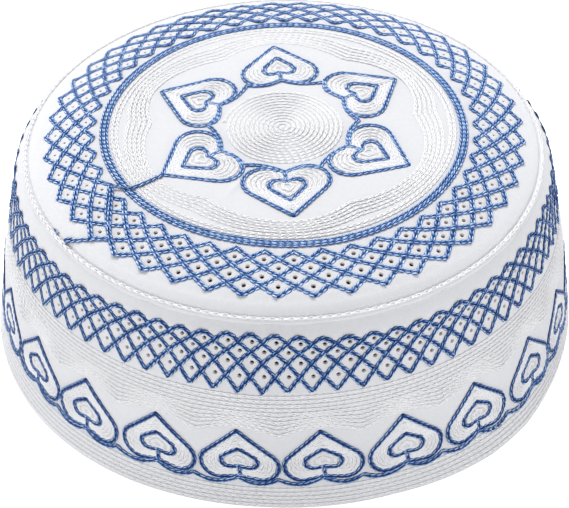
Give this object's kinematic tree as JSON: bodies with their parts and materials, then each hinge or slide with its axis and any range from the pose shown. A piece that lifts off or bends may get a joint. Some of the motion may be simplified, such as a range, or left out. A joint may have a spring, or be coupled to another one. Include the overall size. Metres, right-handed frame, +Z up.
{
  "type": "kufi",
  "caption": "Round flat-topped kufi cap in white cotton with blue and white chain embroidery: nearly flat crown, tapered side and piped seam, open below.",
  "frame": {"origin": "centre of the rim, on the surface that the cap stands on", "axes": "+Z up along the cap's axis, -Y towards the front of the picture, +X to the picture's right"},
  "size_m": [0.184, 0.184, 0.0688],
  "materials": {
    "white_cotton": "matt woven cotton",
    "white_thread": "glossy embroidery thread",
    "blue_thread": "glossy embroidery thread"
  },
  "bodies": {
    "root": {"crown_panel": "white_cotton", "side_band": "white_cotton", "seam_piping": "white_thread", "crown_ring": "blue_thread"}
  },
  "joints": []
}
